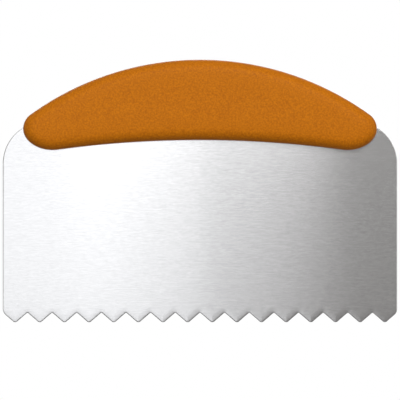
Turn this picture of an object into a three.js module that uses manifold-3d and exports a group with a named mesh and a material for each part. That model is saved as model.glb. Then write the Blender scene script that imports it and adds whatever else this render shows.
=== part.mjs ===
// Cake comb: a toothed sheet-steel blade held between the two moulded half shells of its handle.
// Millimetres, +Z up. The blade stands in the XZ plane with its front towards -Y, and the origin
// is on the line of the tooth tips, under the middle of the blade.
import * as THREE from "three";
import { mergeVertices } from "three/addons/utils/BufferGeometryUtils.js";
import Module from "manifold-3d";

// Blade: heights are above the tooth tips
const BLADE_WIDTH = 150;
const SHEET_THICKNESS = 1;
const SHEET_EDGE_ROUNDING = 0.25;
const SHOULDER_HEIGHT = 76.3;
const TOP_CORNER_RADIUS = 16;
const LOWER_CORNER_RADIUS = 3;
const TOOTH_COUNT = 16;
const TOOTH_ANGLE = THREE.MathUtils.degToRad(98.2);
const TIP_RADIUS = 0.5;
const ROOT_RADIUS = 0.35;

// Tang: the part of the blade that the handle hides
const TANG_HEIGHT = 87;
const TANG_TOP_WIDTH = 76;
const TANG_BASE_WIDTH = 104;
const TANG_CORNER_RADIUS = 5;

// Handle: a crescent between the crown, its upper edge, and the arch, its lower edge
const OVERALL_HEIGHT = 99.8;
const HANDLE_LENGTH = 134.4;
const HANDLE_THICKNESS = 12;
const CROWN_RADIUS = 110;
const CROWN_SPAN = 129;
const ARCH_RADIUS = 400;
const ARCH_SPAN = 108;
const ARCH_HEIGHT = 69.3;
const NOSE_HEIGHT = 73.5;
const NOSE_FULLNESS = { crown: 2, nose: 2.2 };
const HEEL_FULLNESS = { nose: 4.9, arch: 6.9 };
const EDGE_ROUND_WIDTH = 4.6;
const EDGE_ROUND_DEPTH = 5.2;
const WALL = 2.4;

// Inside of the handle: pegs of the front shell sit in sockets of the back shell
const PEG_COUNT = 5;
const PEG_SPACING = 21;
const PEG_HEIGHT = 76;
const PEG_RADIUS = 2;
const PEG_REACH = 3.2;
const PEG_CHAMFER = 0.6;
const BOSS_RADIUS = 4.2;
const RIB_THICKNESS = 1.6;
const TONGUE_THICKNESS = 0.8;
const TONGUE_REACH = 0.8;
const TONGUE_SPAN = THREE.MathUtils.degToRad(60);
const CLEARANCE = 0.3;

// Fineness of the facets
const CHORD_ERROR = 0.02;
const OUTER_FACETS = { arch: 8, heel: 12, nose: 6, crown: 16, edge: 6 };
const INNER_FACETS = { arch: 3, heel: 5, nose: 3, crown: 6, edge: 2 };
const ROUND_SIDES = 20;

const wasm = await Module();
wasm.setup();

function toSolid(geometry) {
  const bare = geometry.clone();
  bare.deleteAttribute("normal");
  bare.deleteAttribute("uv");
  const welded = mergeVertices(bare);
  return new wasm.Manifold(
    new wasm.Mesh({
      numProp: 3,
      vertProperties: new Float32Array(welded.attributes.position.array),
      triVerts: new Uint32Array(welded.index.array),
    }),
  );
}

function toMesh(solid, name, material) {
  const { vertProperties, triVerts } = solid.getMesh();
  const geometry = new THREE.BufferGeometry();
  geometry.setAttribute("position", new THREE.BufferAttribute(vertProperties, 3));
  geometry.setIndex(new THREE.BufferAttribute(triVerts, 1));
  geometry.computeVertexNormals();
  const mesh = new THREE.Mesh(geometry, material);
  mesh.name = name;
  return mesh;
}

// An outline drawn as x and height, extruded half to the front and half to the back of y = 0
function extrudeBothWays(shape, thickness, settings) {
  const straight = thickness - 2 * (settings.bevelThickness ?? 0);
  const geometry = new THREE.ExtrudeGeometry(shape, { depth: straight, bevelEnabled: false, ...settings });
  geometry.translate(0, 0, -straight / 2);
  geometry.rotateX(Math.PI / 2);
  return toSolid(geometry);
}

// A closed outline through sharp corners, each given as x, height and the radius that rounds it
function roundedOutline(corners) {
  const points = corners.flatMap(([x, z, radius], i) => {
    const corner = new THREE.Vector2(x, z);
    const [xBefore, zBefore] = corners.at(i - 1);
    const [xAfter, zAfter] = corners[(i + 1) % corners.length];
    const back = new THREE.Vector2(xBefore - x, zBefore - z).normalize();
    const ahead = new THREE.Vector2(xAfter - x, zAfter - z).normalize();
    if (radius === 0) return [corner];
    const halfAngle = Math.acos(back.dot(ahead)) / 2;
    const turn = Math.PI - 2 * halfAngle;
    const inward = back.clone().add(ahead).normalize();
    const centre = corner.clone().addScaledVector(inward, radius / Math.sin(halfAngle));
    const start = corner.clone().addScaledVector(back, radius / Math.tan(halfAngle)).sub(centre);
    const steps = Math.ceil(turn / (2 * Math.acos(1 - CHORD_ERROR / radius)));
    const direction = Math.sign(ahead.cross(back));
    return Array.from({ length: steps + 1 }, (_, step) =>
      start.clone().rotateAround(new THREE.Vector2(), (direction * turn * step) / steps).add(centre),
    );
  });
  return new THREE.Shape(points);
}

// The pegs stand in one row, evenly spaced about the middle
function pegPlaces() {
  return Array.from({ length: PEG_COUNT }, (_, i) => (i - (PEG_COUNT - 1) / 2) * PEG_SPACING);
}

// Lower edge of the blade from left to right, as sharp tips and roots with their radii.
// The tips' rounding lifts them, so the sharp tips lie below height 0.
function toothCorners() {
  const pitch = BLADE_WIDTH / TOOTH_COUNT;
  const flankRise = (pitch / 2) / Math.tan(TOOTH_ANGLE / 2);
  const sharpTip = -TIP_RADIUS * (1 / Math.sin(TOOTH_ANGLE / 2) - 1);
  const sharpRoot = sharpTip + flankRise;
  const corners = [[-BLADE_WIDTH / 2, sharpRoot, LOWER_CORNER_RADIUS]];
  for (let tooth = 1; tooth <= TOOTH_COUNT; tooth += 1) {
    const right = -BLADE_WIDTH / 2 + tooth * pitch;
    const rootRadius = tooth < TOOTH_COUNT ? ROOT_RADIUS : LOWER_CORNER_RADIUS;
    corners.push([right - pitch / 2, sharpTip, TIP_RADIUS], [right, sharpRoot, rootRadius]);
  }
  return corners;
}

function makeBlade(material) {
  const upperCorners = [
    [BLADE_WIDTH / 2, SHOULDER_HEIGHT, TOP_CORNER_RADIUS],
    [TANG_BASE_WIDTH / 2, SHOULDER_HEIGHT, TANG_CORNER_RADIUS],
    [TANG_TOP_WIDTH / 2, TANG_HEIGHT, TANG_CORNER_RADIUS],
  ];
  const mirrored = upperCorners.map(([x, z, radius]) => [-x, z, radius]).reverse();
  const outline = roundedOutline([...toothCorners(), ...upperCorners, ...mirrored]);
  for (const x of pegPlaces()) {
    const hole = new THREE.Path();
    hole.absarc(x, PEG_HEIGHT, PEG_RADIUS + CLEARANCE, 0, 2 * Math.PI, true);
    outline.holes.push(new THREE.Path(hole.getSpacedPoints(ROUND_SIDES).slice(0, -1)));
  }
  const sheet = extrudeBothWays(outline, SHEET_THICKNESS, {
    bevelEnabled: true,
    bevelThickness: SHEET_EDGE_ROUNDING,
    bevelSize: SHEET_EDGE_ROUNDING,
    bevelOffset: -SHEET_EDGE_ROUNDING,
    bevelSegments: 1,
  });
  return toMesh(sheet, "blade", material);
}

// Outline of the handle. Its right side runs from the middle of the arch under the heel to the nose, the
// outermost point, and over the nose along the crown to the top. The left side mirrors it.
function handleOutline(steps) {
  const up = Math.PI / 2;
  const crownCentre = OVERALL_HEIGHT - CROWN_RADIUS;
  const archCentre = ARCH_HEIGHT - ARCH_RADIUS;
  const crownTurn = Math.asin(CROWN_SPAN / 2 / CROWN_RADIUS);
  const archTurn = Math.asin(ARCH_SPAN / 2 / ARCH_RADIUS);
  const arch = new THREE.EllipseCurve(0, archCentre, ARCH_RADIUS, ARCH_RADIUS, up, up - archTurn, true);
  const crown = new THREE.EllipseCurve(0, crownCentre, CROWN_RADIUS, CROWN_RADIUS, up - crownTurn, up);
  const nosePoint = new THREE.Vector2(HANDLE_LENGTH / 2, NOSE_HEIGHT);
  const heel = new THREE.CubicBezierCurve(
    arch.getPoint(1),
    arch.getPoint(1).addScaledVector(arch.getTangent(1), HEEL_FULLNESS.arch),
    nosePoint.clone().add(new THREE.Vector2(0, -HEEL_FULLNESS.nose)),
    nosePoint,
  );
  const nose = new THREE.CubicBezierCurve(
    nosePoint,
    nosePoint.clone().add(new THREE.Vector2(0, NOSE_FULLNESS.nose)),
    crown.getPoint(0).addScaledVector(crown.getTangent(0), -NOSE_FULLNESS.crown),
    crown.getPoint(0),
  );
  const right = [
    ...arch.getSpacedPoints(steps.arch).slice(0, -1),
    ...heel.getSpacedPoints(steps.heel).slice(0, -1),
    ...nose.getSpacedPoints(steps.nose).slice(0, -1),
    ...crown.getSpacedPoints(steps.crown),
  ];
  const left = right.slice(1, -1).reverse().map(({ x, y }) => new THREE.Vector2(-x, y));
  return new THREE.Shape([...right, ...left]);
}

// The whole handle as a solid with its edges rounded over, shrunk all round by inset
function handleBody(inset, facets) {
  const roundWidth = EDGE_ROUND_WIDTH - inset;
  return extrudeBothWays(handleOutline(facets), HANDLE_THICKNESS - 2 * inset, {
    bevelEnabled: true,
    bevelThickness: EDGE_ROUND_DEPTH - inset,
    bevelSize: roundWidth,
    bevelOffset: -inset - roundWidth,
    bevelSegments: facets.edge,
  });
}

// A box that holds everything between two distances from the mid plane, on the front (-1) or back (+1)
function depthRange(side, near, far, width = 2 * BLADE_WIDTH, x = 0) {
  const box = new THREE.BoxGeometry(width, far - near, 2 * OVERALL_HEIGHT);
  box.translate(x, (side * (near + far)) / 2, OVERALL_HEIGHT / 2);
  return toSolid(box);
}

// A round bar at a peg's place, along Y between two depths, with the radius that it has at the back end
function roundBar(x, front, back, radius, backRadius = radius) {
  const bar = new THREE.CylinderGeometry(backRadius, radius, back - front, ROUND_SIDES);
  bar.translate(x, (front + back) / 2, PEG_HEIGHT);
  return toSolid(bar);
}

// A band along the middle of the crown's wall, from a depth in the front shell to one in the back shell
function crownBand(thickness, frontDepth, backDepth) {
  const centre = OVERALL_HEIGHT - CROWN_RADIUS;
  const radius = CROWN_RADIUS - WALL / 2;
  const from = (Math.PI - TONGUE_SPAN) / 2;
  const to = (Math.PI + TONGUE_SPAN) / 2;
  const band = new THREE.Shape();
  band.absarc(0, centre, radius + thickness / 2, from, to, false);
  band.absarc(0, centre, radius - thickness / 2, to, from, true);
  band.closePath();
  const geometry = new THREE.ExtrudeGeometry(band, {
    depth: frontDepth + backDepth,
    bevelEnabled: false,
    curveSegments: OUTER_FACETS.crown,
  });
  geometry.translate(0, 0, -backDepth);
  geometry.rotateX(Math.PI / 2);
  return toSolid(geometry);
}

// What both half shells share: a hollow skin with one rib and one boss for each peg, cut back where
// its rim lies on the blade
function plainShell(side) {
  const half = depthRange(side, 0, HANDLE_THICKNESS);
  const insideFace = HANDLE_THICKNESS / 2 - WALL / 2;
  const bladeFace = SHEET_THICKNESS / 2;
  const ribZone = handleBody(WALL / 2, INNER_FACETS);
  let shell = handleBody(0, OUTER_FACETS).subtract(handleBody(WALL, INNER_FACETS)).intersect(half);
  for (const x of pegPlaces()) {
    const rib = depthRange(side, bladeFace + CLEARANCE, HANDLE_THICKNESS, RIB_THICKNESS, x).intersect(ribZone);
    const [front, back] = side < 0 ? [-insideFace, -bladeFace] : [bladeFace, insideFace];
    shell = shell.add(rib).add(roundBar(x, front, back, BOSS_RADIUS));
  }
  const grownCorner = TOP_CORNER_RADIUS + CLEARANCE;
  const grownSide = BLADE_WIDTH / 2 + CLEARANCE;
  const grownTop = SHOULDER_HEIGHT + CLEARANCE;
  const bladeRoom = roundedOutline([
    [-grownSide, 0, 0],
    [grownSide, 0, 0],
    [grownSide, grownTop, grownCorner],
    [-grownSide, grownTop, grownCorner],
  ]);
  return shell.subtract(extrudeBothWays(bladeRoom, SHEET_THICKNESS, {}));
}

function makeFrontShell(material) {
  let shell = plainShell(-1);
  for (const x of pegPlaces()) {
    const stem = roundBar(x, -SHEET_THICKNESS, PEG_REACH - PEG_CHAMFER, PEG_RADIUS);
    const tip = roundBar(x, PEG_REACH - PEG_CHAMFER, PEG_REACH, PEG_RADIUS, PEG_RADIUS - PEG_CHAMFER);
    shell = shell.add(stem).add(tip);
  }
  shell = shell.add(crownBand(TONGUE_THICKNESS, WALL / 2, TONGUE_REACH));
  return toMesh(shell, "handle_front_shell", material);
}

function makeBackShell(material) {
  let shell = plainShell(1);
  for (const x of pegPlaces()) {
    shell = shell.subtract(roundBar(x, 0, PEG_REACH + CLEARANCE, PEG_RADIUS + CLEARANCE));
  }
  const groove = crownBand(TONGUE_THICKNESS + 2 * CLEARANCE, WALL, TONGUE_REACH + CLEARANCE);
  return toMesh(shell.subtract(groove), "handle_back_shell", material);
}

const brushedSteel = new THREE.MeshStandardMaterial({ color: 0xc9cacc, roughness: 0.34, metalness: 1 });
const orangePlastic = new THREE.MeshStandardMaterial({ color: 0xc0701a, roughness: 0.55, metalness: 0 });

const comb = new THREE.Group();
comb.add(makeBlade(brushedSteel), makeFrontShell(orangePlastic), makeBackShell(orangePlastic));

export default comb;
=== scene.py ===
import math

import bmesh
import bpy
from mathutils import Matrix, Vector
from mathutils.geometry import interpolate_bezier, tessellate_polygon


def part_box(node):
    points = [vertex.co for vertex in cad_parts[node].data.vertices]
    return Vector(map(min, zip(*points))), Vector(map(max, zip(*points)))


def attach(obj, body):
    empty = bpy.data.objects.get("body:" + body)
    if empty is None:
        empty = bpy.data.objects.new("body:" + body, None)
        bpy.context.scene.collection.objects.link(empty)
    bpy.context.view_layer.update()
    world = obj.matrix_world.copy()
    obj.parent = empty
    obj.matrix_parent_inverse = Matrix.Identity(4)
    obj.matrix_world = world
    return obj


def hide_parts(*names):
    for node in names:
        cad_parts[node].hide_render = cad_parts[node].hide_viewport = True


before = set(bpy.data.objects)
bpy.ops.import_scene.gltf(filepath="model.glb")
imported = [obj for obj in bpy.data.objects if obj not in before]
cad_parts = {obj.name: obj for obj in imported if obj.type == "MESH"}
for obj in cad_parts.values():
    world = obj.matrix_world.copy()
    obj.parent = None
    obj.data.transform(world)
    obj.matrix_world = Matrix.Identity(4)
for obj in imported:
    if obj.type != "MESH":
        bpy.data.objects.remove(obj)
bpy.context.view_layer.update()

# Blade: one sheet of stainless steel, stamped out with its teeth and brushed from side to side.
# The press has rolled the edges over, widest along the teeth. The tang with its five holes
# stands up inside the handle.
MM = 0.001
blade_low, blade_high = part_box("blade")
BLADE_HALF_WIDTH = blade_high.x
SHEET_HALF = blade_high.y
SHOULDER_HEIGHT = 76.3 * MM
TOP_CORNER_RADIUS = 16 * MM
TOP_CORNER_STEPS = 32
LOWER_CORNER_RADIUS = 3 * MM
LOWER_CORNER_STEPS = 10
TANG_HEIGHT = blade_high.z
TANG_TOP_HALF_WIDTH = 38 * MM
TANG_BASE_HALF_WIDTH = 52 * MM
TANG_CORNER_RADIUS = 5 * MM
TANG_CORNER_STEPS = 8
HOLE_COUNT = 5
HOLE_SPACING = 21 * MM
HOLE_HEIGHT = 76 * MM
HOLE_RADIUS = 2.3 * MM
HOLE_STEPS = 32
TOOTH_COUNT = 16
TOOTH_HALF_ANGLE = math.radians(49.1)
TIP_RADIUS = 1.1 * MM
ROOT_RADIUS = 0.55 * MM
TOOTH_STEPS = 8
EDGE_RADIUS = 0.3 * MM
EDGE_STEPS = 8
TOOTH_ROLL = 2.2 * MM
SIDE_ROLL = 0.21 * MM
ROLL_DEPTH = 0.04 * MM
ROLL_STEPS = 5
FLAT_MARGIN = 0.1 * MM
SHARPEST_RADIUS = 0.05 * MM
CREASE_ANGLE = math.radians(35)
STEEL_DARK = (0.543, 0.542, 0.549)
STEEL_LIGHT = (0.631, 0.629, 0.637)
STEEL_ROUGHNESS = (0.15, 0.17)
NOISE_RANGE = (0.3, 0.7)
STREAK_WIDTH = 0.45 * MM
SHORT_STREAK = 1.5 * MM
SHORT_STREAK_DETAIL = 4
LONG_STREAK = 6 * MM
LONG_STREAK_DETAIL = 3
LONG_STREAK_SHARE = 0.4
STREAK_DEPTH = 0.0018 * MM
BRUSHED_SHINE = 0.95
QUARTER_TURN = 0.25


def edge_rounding(width, depth, steps):
    """A quarter ellipse from the edge to the face, as steps in from the edge and towards the face."""
    turns = [math.pi / 2 * i / steps for i in range(steps + 1)]
    return [(width * (1 - math.cos(turn)), depth * math.sin(turn)) for turn in turns]


def tooth_corners():
    """The toothed edge from left to right: place, radius, arc steps and roll of the edge that follows."""
    half_pitch = BLADE_HALF_WIDTH / TOOTH_COUNT
    tip = blade_low.z - TIP_RADIUS * (1 / math.sin(TOOTH_HALF_ANGLE) - 1)
    root = tip + half_pitch / math.tan(TOOTH_HALF_ANGLE)
    corners = [(Vector((-BLADE_HALF_WIDTH, root)), LOWER_CORNER_RADIUS, LOWER_CORNER_STEPS, TOOTH_ROLL)]
    for tooth in range(TOOTH_COUNT):
        middle = -BLADE_HALF_WIDTH + (2 * tooth + 1) * half_pitch
        corners.append((Vector((middle, tip)), TIP_RADIUS, TOOTH_STEPS, TOOTH_ROLL))
        corners.append((Vector((middle + half_pitch, root)), ROOT_RADIUS, TOOTH_STEPS, TOOTH_ROLL))
    corners[-1] = (corners[-1][0], LOWER_CORNER_RADIUS, LOWER_CORNER_STEPS, SIDE_ROLL)
    return corners


def blade_corners():
    """The corners of the blade, along its teeth from the left and back over the tang."""
    right = [
        (Vector((BLADE_HALF_WIDTH, SHOULDER_HEIGHT)), TOP_CORNER_RADIUS, TOP_CORNER_STEPS, SIDE_ROLL),
        (Vector((TANG_BASE_HALF_WIDTH, SHOULDER_HEIGHT)), TANG_CORNER_RADIUS, TANG_CORNER_STEPS, SIDE_ROLL),
        (Vector((TANG_TOP_HALF_WIDTH, TANG_HEIGHT)), TANG_CORNER_RADIUS, TANG_CORNER_STEPS, SIDE_ROLL),
    ]
    left = [(Vector((-place.x, place.y)), *rest) for place, *rest in reversed(right)]
    return tooth_corners() + right + left


def inset_outline(corners, inset, share):
    """The rounded outline, each edge moved in by the inset and that share of its roll."""
    points = []
    for i, (place, radius, steps, roll) in enumerate(corners):
        before, _, _, roll_before = corners[i - 1]
        after = corners[(i + 1) % len(corners)][0]
        back = (place - before).normalized()
        ahead = (after - place).normalized()
        inward_back = Vector((-back.y, back.x))
        inward_ahead = Vector((-ahead.y, ahead.x))
        inset_back = inset + roll_before * share
        inset_ahead = inset + roll * share
        lean = inward_back.dot(inward_ahead)
        moved = place + (
            inward_back * (inset_back - inset_ahead * lean)
            + inward_ahead * (inset_ahead - inset_back * lean)
        ) / (1 - lean * lean)
        turn = math.atan2(back.x * ahead.y - back.y * ahead.x, back.dot(ahead))
        side = math.copysign(1, turn)
        rounded = max(radius - side * (inset_back + inset_ahead) / 2, SHARPEST_RADIUS)
        spoke = -inward_back * rounded * side
        centre = moved - back * rounded * abs(math.tan(turn / 2)) - spoke
        points += [centre + Matrix.Rotation(turn * step / steps, 2) @ spoke for step in range(steps + 1)]
    return points


def ring_at(points, depth):
    """The points of an outline, at this depth from the mid plane of the comb."""
    return [Vector((point.x, depth, point.y)) for point in points]


def solid_from_rings(name, rings, holes=()):
    """A closed mesh of rings joined in turn, with the first and last filled in.
    A hole is a pair of rings, one in the first face and one in the last."""
    mesh = bmesh.new()
    joined = [[mesh.verts.new(point) for point in ring] for ring in rings]
    walls = list(zip(joined, joined[1:]))
    first_face, last_face = [joined[0]], [joined[-1]]
    for first, last in holes:
        mouth = [mesh.verts.new(point) for point in first]
        end = [mesh.verts.new(point) for point in last]
        walls.append((mouth, end))
        first_face.append(mouth)
        last_face.append(end)
    for near, far in walls:
        for i in range(len(near)):
            mesh.faces.new((near[i - 1], near[i], far[i], far[i - 1]))
    for face in (first_face, last_face):
        verts = [vert for loop in face for vert in loop]
        for corners in tessellate_polygon([[vert.co for vert in loop] for loop in face]):
            mesh.faces.new([verts[corner] for corner in corners])
    bmesh.ops.recalc_face_normals(mesh, faces=mesh.faces)
    data = bpy.data.meshes.new(name)
    mesh.to_mesh(data)
    mesh.free()
    data.shade_smooth()
    data.set_sharp_from_angle(angle=CREASE_ANGLE)
    piece = bpy.data.objects.new(name, data)
    bpy.context.collection.objects.link(piece)
    return piece


def sheet_edge():
    """The edge of the sheet in section, from its side to its face: inset, share of the roll and depth."""
    land = SHEET_HALF - EDGE_RADIUS - ROLL_DEPTH
    rounding = edge_rounding(EDGE_RADIUS, EDGE_RADIUS, EDGE_STEPS)
    section = [(inset, 0, land + rise) for inset, rise in rounding]
    for step in range(1, ROLL_STEPS + 1):
        share = step / ROLL_STEPS
        section.append((EDGE_RADIUS, share, SHEET_HALF - ROLL_DEPTH * (1 - share) ** 2))
    section.append((EDGE_RADIUS + FLAT_MARGIN, 1, SHEET_HALF))
    return section


def tang_holes():
    """Each hole of the tang, as a circle on the front of the sheet and one on the back."""
    turns = [2 * math.pi * step / HOLE_STEPS for step in range(HOLE_STEPS)]
    holes = []
    for i in range(HOLE_COUNT):
        middle = Vector(((i - (HOLE_COUNT - 1) / 2) * HOLE_SPACING, HOLE_HEIGHT))
        circle = [middle + HOLE_RADIUS * Vector((math.cos(turn), math.sin(turn))) for turn in turns]
        holes.append((ring_at(circle, -SHEET_HALF), ring_at(circle, SHEET_HALF)))
    return holes


def make_blade():
    corners = blade_corners()
    front = [ring_at(inset_outline(corners, inset, share), -depth) for inset, share, depth in sheet_edge()]
    back = [[Vector((point.x, -point.y, point.z)) for point in ring] for ring in front]
    return solid_from_rings("blade_sheet", front[::-1] + back, tang_holes())


def add_node(tree, kind, inputs, **settings):
    """A shader node; each input is given as a value or as the output that feeds it."""
    node = tree.nodes.new("ShaderNode" + kind)
    for name, value in settings.items():
        setattr(node, name, value)
    for name, value in inputs.items():
        if isinstance(value, bpy.types.NodeSocket):
            tree.links.new(value, node.inputs[name])
        else:
            node.inputs[name].default_value = value
    return node


def new_material(name):
    material = bpy.data.materials.new(name)
    material.use_nodes = True
    return material, material.node_tree, material.node_tree.nodes["Principled BSDF"]


def mixed(tree, first, second, share):
    """The first value with this share of the second mixed in."""
    return add_node(tree, "Mix", {"Factor": share, "A": first, "B": second}).outputs["Result"]


def spread(tree, value, given, wanted):
    """A value from one range brought to another range."""
    ends = {"From Min": given[0], "From Max": given[1], "To Min": wanted[0], "To Max": wanted[1]}
    return add_node(tree, "MapRange", {"Value": value, **ends}).outputs["Result"]


def spread_colour(tree, noise, dark, light):
    """A colour that follows the noise from dark to light."""
    low, high = NOISE_RANGE
    ends = {"From Min": (low, low, low), "From Max": (high, high, high), "To Min": dark, "To Max": light}
    spread_node = add_node(tree, "MapRange", {"Vector": noise, **ends}, data_type="FLOAT_VECTOR")
    return spread_node.outputs["Vector"]


def set_relief(tree, shader, height, depth):
    relief = add_node(tree, "Bump", {"Height": height, "Distance": depth, "Strength": 1.0})
    tree.links.new(relief.outputs["Normal"], shader.inputs["Normal"])


def streaks(tree, length, detail):
    """Noise drawn out along the blade into streaks of this length."""
    place = add_node(tree, "TexCoord", {})
    scale = (1 / length, 1 / length, 1 / STREAK_WIDTH)
    stretched = add_node(tree, "Mapping", {"Vector": place.outputs["Object"], "Scale": scale})
    inputs = {"Vector": stretched.outputs["Vector"], "Scale": 1.0, "Detail": detail}
    return add_node(tree, "TexNoise", inputs).outputs["Fac"]


def brushed_steel():
    material, tree, shader = new_material("brushed_steel")
    short = streaks(tree, SHORT_STREAK, SHORT_STREAK_DETAIL)
    long = streaks(tree, LONG_STREAK, LONG_STREAK_DETAIL)
    both = mixed(tree, short, long, LONG_STREAK_SHARE)
    tree.links.new(spread_colour(tree, both, STEEL_DARK, STEEL_LIGHT), shader.inputs["Base Color"])
    tree.links.new(spread(tree, both, NOISE_RANGE, STEEL_ROUGHNESS), shader.inputs["Roughness"])
    set_relief(tree, shader, short, STREAK_DEPTH)
    shader.inputs["Metallic"].default_value = 1.0
    shader.inputs["Anisotropic"].default_value = BRUSHED_SHINE
    shader.inputs["Anisotropic Rotation"].default_value = QUARTER_TURN
    return material


blade = make_blade()
blade.data.materials.append(brushed_steel())
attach(blade, "root")
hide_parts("blade")

# Front half of the handle: a hollow shell moulded in orange plastic with a fine matte grain and a
# slightly domed face. Its rim lies on the blade along the arch and meets the back half along the
# crown, where a small chamfer on each leaves a parting line.
handle_low, handle_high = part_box("handle_front_shell")
HANDLE_HALF_LENGTH = handle_high.x
HANDLE_HALF_THICKNESS = -handle_low.y
OVERALL_HEIGHT = handle_high.z
CROWN_RADIUS = 110 * MM
CROWN_HALF_SPAN = 64.5 * MM
CROWN_STEPS = 64
ARCH_RADIUS = 400 * MM
ARCH_HALF_SPAN = 54 * MM
ARCH_HEIGHT = 69.3 * MM
ARCH_STEPS = 48
NOSE_HEIGHT = 73.5 * MM
NOSE_FULLNESS_AT_CROWN = 2 * MM
NOSE_FULLNESS = 2.2 * MM
NOSE_POINTS = 20
HEEL_FULLNESS_AT_NOSE = 4.9 * MM
HEEL_FULLNESS_AT_ARCH = 6.9 * MM
HEEL_POINTS = 40
EDGE_ROUND_WIDTH = 4.6 * MM
EDGE_ROUND_DEPTH = 5.2 * MM
EDGE_ROUND_STEPS = 14
FACE_RISE = 0.25 * MM
FACE_REACH = 0.6
FACE_STEPS = 6
SPINE_HALF_LENGTH = 50 * MM
WALL = 2.4 * MM
HOLLOW_STEPS = 6
SEAM_CHAMFER = 0.2 * MM
BLADE_ROOM = 0.3 * MM
PLASTIC_DARK = (0.395, 0.108, 0.002)
PLASTIC_LIGHT = (0.577, 0.178, 0.004)
PLASTIC_ROUGHNESS = (0.45, 0.62)
PLASTIC_SHINE = 0.08
GRAIN_SIZE = 0.65 * MM
GRAIN_DEPTH = 0.04 * MM
GRAIN_DETAIL = 2
MOTTLE_SIZE = 6 * MM
MOTTLE_SHARE = 0.1


def arc(radius, top, start, end, steps):
    """Points of an arc that is highest over the middle, between two turns from there."""
    turns = [start + (end - start) * i / steps for i in range(steps + 1)]
    return [Vector((radius * math.sin(turn), top - radius + radius * math.cos(turn))) for turn in turns]


def handle_outline():
    """Outline of the handle, from the middle of the arch round the right end to the crown and back."""
    arch_turn = math.asin(ARCH_HALF_SPAN / ARCH_RADIUS)
    crown_turn = math.asin(CROWN_HALF_SPAN / CROWN_RADIUS)
    arch = arc(ARCH_RADIUS, ARCH_HEIGHT, 0, arch_turn, ARCH_STEPS)
    crown = arc(CROWN_RADIUS, OVERALL_HEIGHT, crown_turn, 0, CROWN_STEPS)
    along_arch = Vector((math.cos(arch_turn), -math.sin(arch_turn)))
    along_crown = Vector((math.cos(crown_turn), -math.sin(crown_turn)))
    nose_point = Vector((HANDLE_HALF_LENGTH, NOSE_HEIGHT))
    upward = Vector((0, 1))
    heel = interpolate_bezier(
        arch[-1],
        arch[-1] + along_arch * HEEL_FULLNESS_AT_ARCH,
        nose_point - upward * HEEL_FULLNESS_AT_NOSE,
        nose_point,
        HEEL_POINTS,
    )
    nose = interpolate_bezier(
        nose_point,
        nose_point + upward * NOSE_FULLNESS,
        crown[0] + along_crown * NOSE_FULLNESS_AT_CROWN,
        crown[0],
        NOSE_POINTS,
    )
    right = arch[:-1] + heel[:-1] + nose[:-1] + crown
    left = [Vector((-point.x, point.y)) for point in right[-2:0:-1]]
    return right + left


def moved_in(outline, inset):
    """The outline with every point moved square to it by the inset."""
    moved = []
    for i, point in enumerate(outline):
        along = (outline[(i + 1) % len(outline)] - outline[i - 1]).normalized()
        moved.append(point + Vector((-along.y, along.x)) * inset)
    return moved


def rim_depth(point):
    """How far from the mid plane the rim is: on the blade's face, or on the other half of the handle."""
    past_corner = Vector((
        max(abs(point.x) - BLADE_HALF_WIDTH + TOP_CORNER_RADIUS, 0),
        max(point.y - SHOULDER_HEIGHT + TOP_CORNER_RADIUS, 0),
    ))
    return SHEET_HALF if past_corner.length < TOP_CORNER_RADIUS + BLADE_ROOM else 0


def arc_height(radius, top, x):
    """Height at x of an arc that is highest over the middle."""
    return top - radius + math.sqrt(radius * radius - x * x)


def spine_point(point):
    """The point next to this one on the handle's spine, halfway between the arch and the crown."""
    x = min(max(point.x, -SPINE_HALF_LENGTH), SPINE_HALF_LENGTH)
    arch = arc_height(ARCH_RADIUS, ARCH_HEIGHT, x)
    crown = arc_height(CROWN_RADIUS, OVERALL_HEIGHT, x)
    return Vector((x, (arch + crown) / 2))


def domed_face(edge, side):
    """Rings from the rounded edge over the face, which rises a little towards the spine."""
    rings = []
    for step in range(1, FACE_STEPS + 1):
        done = step / FACE_STEPS
        places = [point.lerp(spine_point(point), FACE_REACH * done) for point in edge]
        rings.append(ring_at(places, side * (HANDLE_HALF_THICKNESS - FACE_RISE * (1 - done) ** 2)))
    return rings


def make_shell(name, side):
    """One half of the handle, on the front (-1) or the back (1). The face takes the place of the last
    step of the rounded edge."""
    outline = handle_outline()
    land = HANDLE_HALF_THICKNESS - EDGE_ROUND_DEPTH
    rounding = edge_rounding(EDGE_ROUND_WIDTH, EDGE_ROUND_DEPTH - FACE_RISE, EDGE_ROUND_STEPS)[:-1]
    outside = [ring_at(moved_in(outline, inset), side * (land + rise)) for inset, rise in rounding]
    face = domed_face(moved_in(outline, rounding[-1][0]), side)
    rim = []
    for inset, gap in ((0, SEAM_CHAMFER), (SEAM_CHAMFER, 0), (WALL, 0)):
        places = moved_in(outline, inset)
        rim.append([Vector((place.x, side * (rim_depth(place) + gap), place.y)) for place in places])
    hollow = edge_rounding(EDGE_ROUND_WIDTH - WALL, EDGE_ROUND_DEPTH - WALL, HOLLOW_STEPS)
    hollow.append((EDGE_ROUND_WIDTH - WALL + FLAT_MARGIN, EDGE_ROUND_DEPTH - WALL))
    inside = [ring_at(moved_in(outline, WALL + inset), side * (land + rise)) for inset, rise in hollow]
    return solid_from_rings(name, face[::-1] + outside[::-1] + rim + inside)


def specks(tree, size):
    """Even noise with specks of this size."""
    place = add_node(tree, "TexCoord", {})
    inputs = {"Vector": place.outputs["Object"], "Scale": 1 / size, "Detail": GRAIN_DETAIL}
    return add_node(tree, "TexNoise", inputs).outputs["Fac"]


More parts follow.
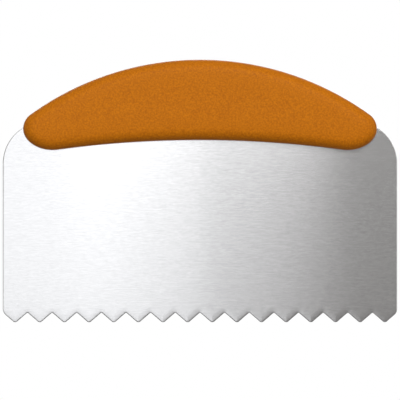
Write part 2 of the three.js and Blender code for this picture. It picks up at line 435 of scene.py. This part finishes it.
def grained_plastic():
    material, tree, shader = new_material("orange_plastic")
    grain = specks(tree, GRAIN_SIZE)
    both = mixed(tree, grain, specks(tree, MOTTLE_SIZE), MOTTLE_SHARE)
    tree.links.new(spread_colour(tree, both, PLASTIC_DARK, PLASTIC_LIGHT), shader.inputs["Base Color"])
    tree.links.new(spread(tree, grain, NOISE_RANGE, PLASTIC_ROUGHNESS), shader.inputs["Roughness"])
    set_relief(tree, shader, grain, GRAIN_DEPTH)
    shader.inputs["Specular IOR Level"].default_value = PLASTIC_SHINE
    return material


plastic = grained_plastic()
front_shell = make_shell("front_half", -1)
front_shell.data.materials.append(plastic)
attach(front_shell, "root")
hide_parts("handle_front_shell")

# Back half of the handle: the same hollow shell in orange plastic, moulded the other way round.
# The two halves close over the tang and hold the blade between their rims.
back_shell = make_shell("back_half", 1)
back_shell.data.materials.append(plastic)
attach(back_shell, "root")
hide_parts("handle_back_shell")

# Studio: a wide white floor and a soft dome of light, with softboxes before, above, beside and
# behind the comb and five below it. Only the camera sees the floor and the white round it, so
# the light from below passes through the floor.
FLOOR_HALF_SIZE = 20.0
WHITE = (1, 1, 1, 1)
BLACK = (0, 0, 0, 1)
DOME_TINT = (1.035, 1.0, 0.96, 1)
DOME_BELOW = 0.1
DOME_LEVEL = 0.33
DOME_ABOVE = 0.38
DOME_LOW_END = -0.45
DOME_HIGH_END = 0.8
FRONT_DISTANCE = 0.8
FRONT_TINT = (0.98, 1.0, 1.02)
FRONT_LEFT, FRONT_RIGHT = -0.57, 0.35
FRONT_BOTTOM, FRONT_TOP = -0.14, 1.0
FRONT_FADE = ((-0.076, 1.41), (-0.008, 1.02), (0.016, 0.62), (0.034, 0.58), (0.11, 0.06), (0.13, 0.02))
COMB_MIDDLE = (0, 0, 0.08)
CORNER_REACH = 0.6
CORNER_HEIGHT = -0.27
CORNER_AIM = (0, 0, 0.05)
CORNER_FADE = ((0.2, 1.0), (0.45, 0.8), (0.75, 0.5))


def make_floor():
    mesh = bpy.data.meshes.new("floor")
    half = FLOOR_HALF_SIZE
    corners = [(-half, -half, 0), (half, -half, 0), (half, half, 0), (-half, half, 0)]
    mesh.from_pydata(corners, [], [(0, 1, 2, 3)])
    floor = bpy.data.objects.new("floor", mesh)
    bpy.context.collection.objects.link(floor)
    material, _, shader = new_material("white_floor")
    shader.inputs["Base Color"].default_value = BLACK
    shader.inputs["Specular IOR Level"].default_value = 0.0
    shader.inputs["Emission Color"].default_value = WHITE
    shader.inputs["Emission Strength"].default_value = 1.0
    mesh.materials.append(material)
    floor.visible_diffuse = False
    floor.visible_glossy = False
    floor.visible_shadow = False
    return floor


def make_dome():
    """Light from all round, dim below and brighter above. The camera sees white in its place."""
    world = bpy.data.worlds.new("dome")
    world.use_nodes = True
    tree = world.node_tree
    tree.nodes.clear()
    direction = add_node(tree, "TexCoord", {})
    height = add_node(tree, "SeparateXYZ", {"Vector": direction.outputs["Generated"]}).outputs["Z"]
    lower = spread(tree, height, (DOME_LOW_END, 0), (DOME_BELOW, DOME_LEVEL))
    upper = spread(tree, height, (0, DOME_HIGH_END), (0, DOME_ABOVE - DOME_LEVEL))
    total = add_node(tree, "Math", {0: lower, 1: upper})
    light = add_node(tree, "Background", {"Color": DOME_TINT, "Strength": total.outputs["Value"]})
    white = add_node(tree, "Background", {"Color": WHITE, "Strength": 1.0})
    path = add_node(tree, "LightPath", {})
    seen = add_node(
        tree,
        "MixShader",
        {0: path.outputs["Is Camera Ray"], 1: light.outputs["Background"], 2: white.outputs["Background"]},
    )
    add_node(tree, "OutputWorld", {"Surface": seen.outputs["Shader"]})
    bpy.context.scene.world = world


def softbox(name, place, aim, width, height, brightness, fade=(), tint=(1, 1, 1)):
    """A flat box of light that faces the aim. A fade lists places across the box, as shares of its width
    from the left as seen from behind it, each with the share of the brightness there."""
    light = bpy.data.lights.new(name, "AREA")
    light.shape = "RECTANGLE"
    light.size = width
    light.size_y = height
    light.energy = brightness * math.pi * width * height
    light.color = tint
    if fade:
        light.use_nodes = True
        tree = light.node_tree
        place_on_box = add_node(tree, "NewGeometry", {})
        across = add_node(tree, "SeparateXYZ", {"Vector": place_on_box.outputs["Parametric"]})
        ramp = add_node(tree, "ValToRGB", {"Fac": across.outputs["X"]})
        stops = ramp.color_ramp.elements
        stops.remove(stops[0])
        for i, (share, level) in enumerate(fade):
            stop = stops[0] if i == 0 else stops.new(share)
            stop.position = share
            stop.color = (level, level, level, 1)
        tree.links.new(ramp.outputs["Color"], tree.nodes["Emission"].inputs["Color"])
    box = bpy.data.objects.new(name, light)
    box.location = place
    box.rotation_mode = "QUATERNION"
    box.rotation_quaternion = (Vector(aim) - Vector(place)).to_track_quat("-Z", "Y")
    box.visible_camera = False
    bpy.context.collection.objects.link(box)


def front_softbox():
    """A wide softbox in front of the blade that fades from left to right."""
    width = FRONT_RIGHT - FRONT_LEFT
    height = FRONT_TOP - FRONT_BOTTOM
    middle = (FRONT_LEFT + FRONT_RIGHT) / 2
    level = (FRONT_BOTTOM + FRONT_TOP) / 2
    brightest = FRONT_FADE[0][1]
    fade = [((x - FRONT_LEFT) / width, brightness / brightest) for x, brightness in FRONT_FADE]
    place = (middle, -FRONT_DISTANCE, level)
    softbox("front_softbox", place, (middle, 0, level), width, height, brightest, fade, FRONT_TINT)


make_floor()
make_dome()
front_softbox()
softbox("upper_softbox", place=(0, -0.82, 0.32), aim=(0, 0, 0.32), width=0.2, height=0.36, brightness=1.2)
softbox("key_softbox", place=(0.18, -0.85, 0.68), aim=COMB_MIDDLE, width=0.36, height=0.36, brightness=11.0)
softbox("side_softbox", place=(1.0, -0.6, 0.2), aim=COMB_MIDDLE, width=0.8, height=0.8, brightness=1.4)
softbox("back_softbox", place=(0, 1.3, 0.45), aim=COMB_MIDDLE, width=0.9, height=0.9, brightness=4.7)
softbox("low_softbox", place=(0, -0.55, -0.5), aim=COMB_MIDDLE, width=0.4, height=0.3, brightness=0.9)
for x in (-CORNER_REACH, CORNER_REACH):
    for y in (-CORNER_REACH, CORNER_REACH):
        softbox(
            "corner_softbox",
            place=(x, y, CORNER_HEIGHT),
            aim=CORNER_AIM,
            width=0.35,
            height=0.5,
            brightness=1.0,
            fade=CORNER_FADE,
        )

# Camera: far off with a long lens, level with the middle of the comb and square to it, so that the
# comb fills the frame as it does in the photograph.
LENS = 190
SENSOR = 36
FRAME_WIDTH = 152.17 * MM
FRAME_MIDDLE = Vector((0, 0, 46.49 * MM))

distance = FRAME_WIDTH * LENS / SENSOR
camera_data = bpy.data.cameras.new("camera")
camera_data.lens = LENS
camera_data.sensor_width = SENSOR
camera = bpy.data.objects.new("camera", camera_data)
camera.location = FRAME_MIDDLE - Vector((0, distance, 0))
camera.rotation_euler = (math.pi / 2, 0, 0)
bpy.context.collection.objects.link(camera)
bpy.context.scene.camera = camera
bpy.context.scene.view_settings.view_transform = "Standard"
